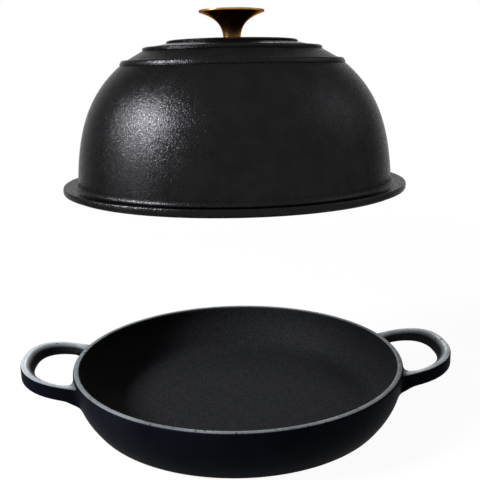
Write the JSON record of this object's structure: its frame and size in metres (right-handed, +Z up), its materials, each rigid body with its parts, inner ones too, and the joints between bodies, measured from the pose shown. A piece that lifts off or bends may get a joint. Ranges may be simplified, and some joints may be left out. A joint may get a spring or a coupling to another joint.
{
  "type": "bread oven",
  "caption": "Cast iron bread oven: shallow round pan with cast loop handles, and a tall domed lid with stepped rings and a trumpet-shaped brass knob that lifts straight off.",
  "frame": {"origin": "centre of the pan's foot ring, on the surface that the pan stands on", "axes": "+Z up along the pan's and lid's axis, +X along the line through the two handles, +Y across it"},
  "size_m": [0.342, 0.262, 0.3099],
  "materials": {
    "pan_enamel": "satin black enamel with a faint blue tint",
    "lid_iron": "matte black with a fine pebbled casting grain",
    "knob_brass": "dark antique brass, polished",
    "fastener_steel": "plain zinc-plated steel"
  },
  "bodies": {
    "pan": {"base_pan": "pan_enamel"},
    "lid": {"dome_lid": "lid_iron", "lid_knob": "knob_brass", "flat_washer": "fastener_steel", "lock_washer": "fastener_steel", "knob_screw": "fastener_steel"}
  },
  "joints": [
    {"name": "lid_lift", "type": "slide", "parent": "pan", "child": "lid", "axis": [0, 0, 1], "range_m": [-0.139, 0]}
  ]
}
